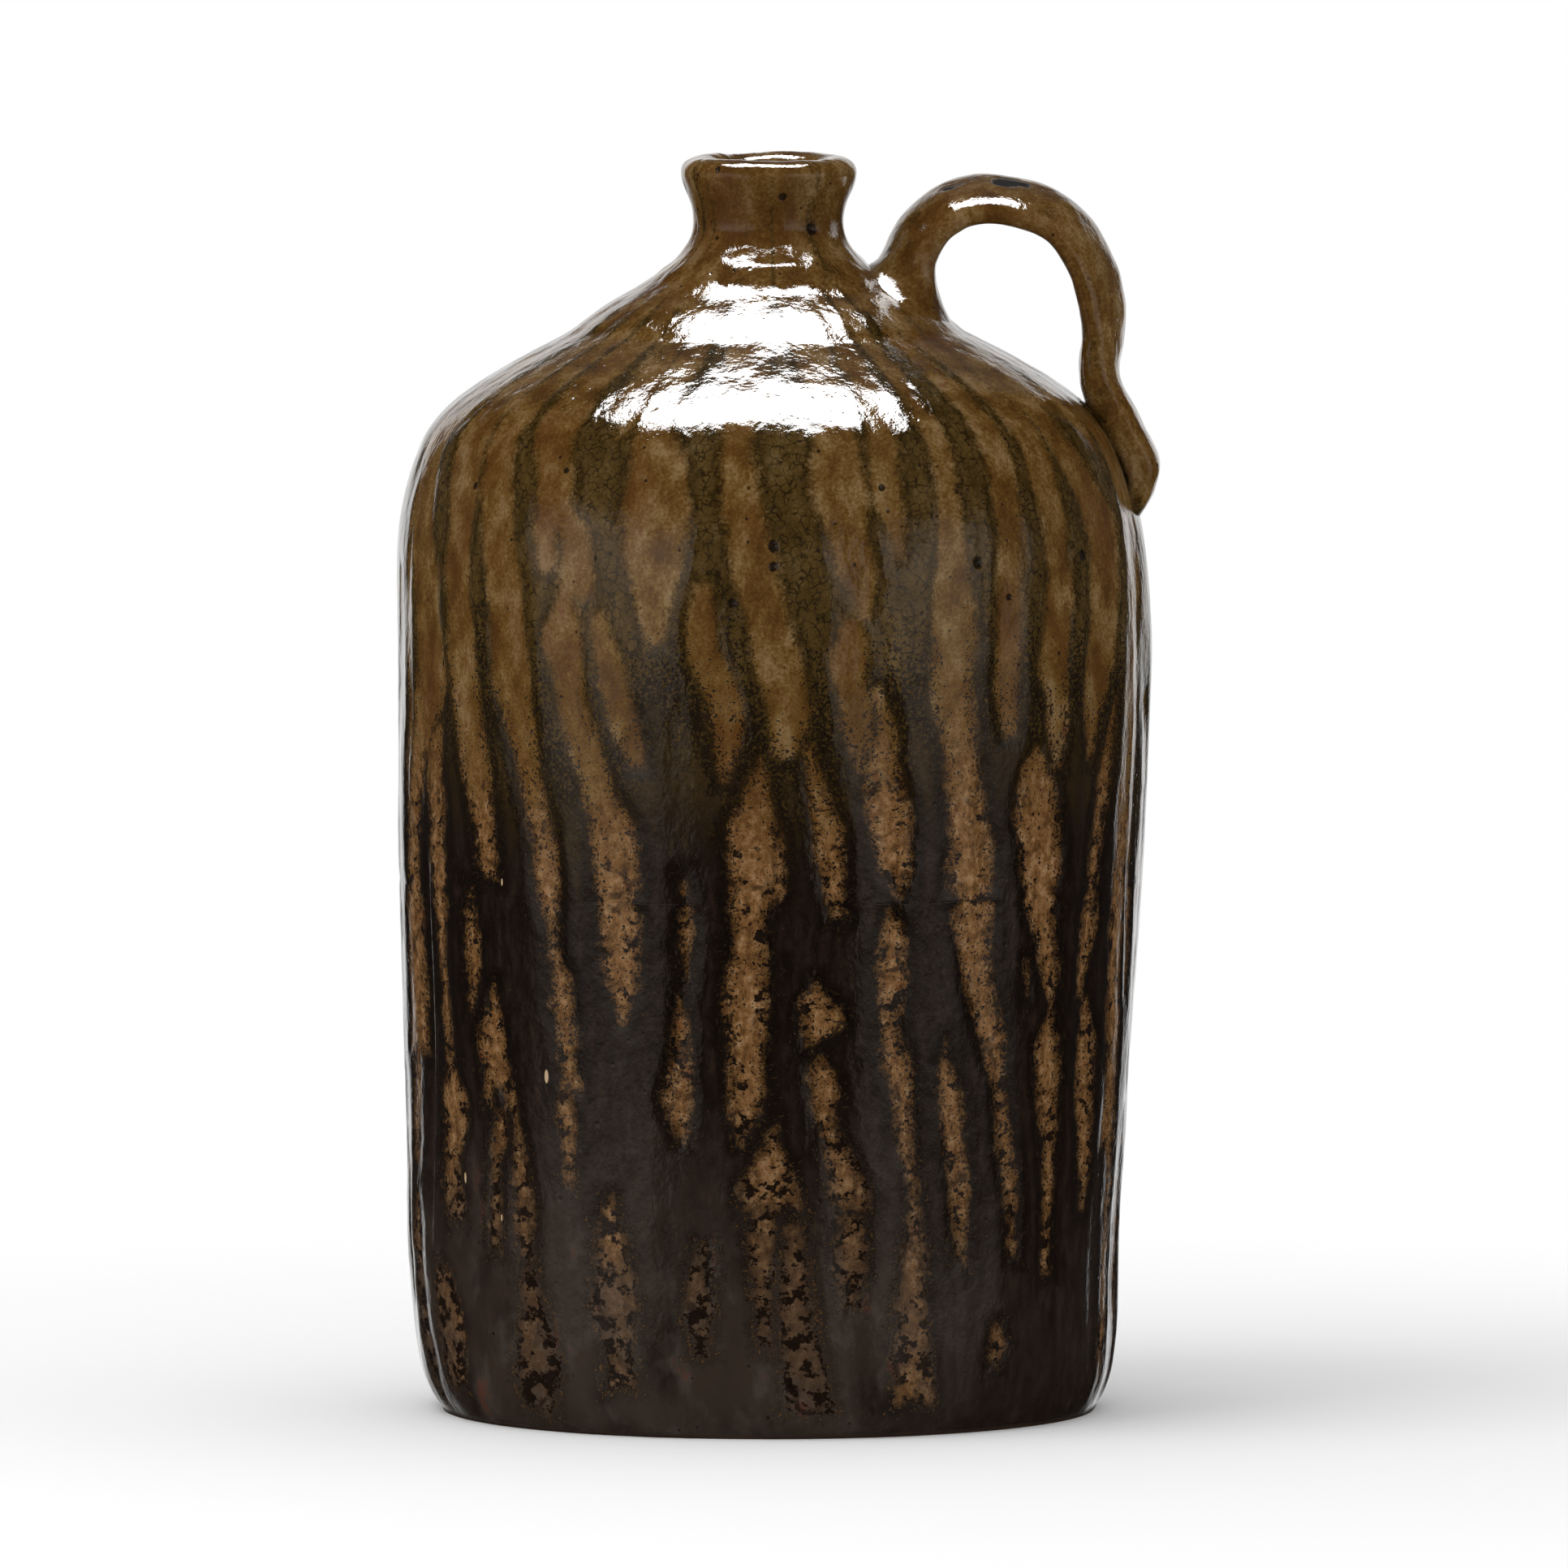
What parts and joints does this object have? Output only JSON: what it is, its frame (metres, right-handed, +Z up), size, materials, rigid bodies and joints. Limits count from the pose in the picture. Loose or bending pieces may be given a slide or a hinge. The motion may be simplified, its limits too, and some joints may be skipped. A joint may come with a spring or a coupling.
{
  "type": "stoneware jug",
  "caption": "Tall stoneware jug with near-straight walls, round shoulder, short flared neck and a strap loop handle, under a runny ash glaze; stores and pours liquids.",
  "frame": {"origin": "middle of the flat underside, on the axis of the thrown body", "axes": "+Z up along the axis of the thrown body; +X from the axis to the handle"},
  "size_m": [0.2085, 0.2034, 0.341],
  "materials": {
    "dark_ash_glaze": "glossy brown-black ash glaze with tan runs",
    "olive_ash_glaze": "glossy olive and tan ash glaze, crazed, with vertical runs",
    "tan_ash_glaze": "glossy brown-tan ash glaze",
    "luting_clay": "fired stoneware clay under glaze"
  },
  "bodies": {
    "root": {"lower_section": "dark_ash_glaze", "body_seam_lute": "luting_clay", "upper_section": "olive_ash_glaze", "cap_seam_lute": "luting_clay", "neck_cap": "tan_ash_glaze", "handle": "tan_ash_glaze", "handle_root_lute": "luting_clay", "handle_tail_lute": "luting_clay"}
  },
  "joints": []
}
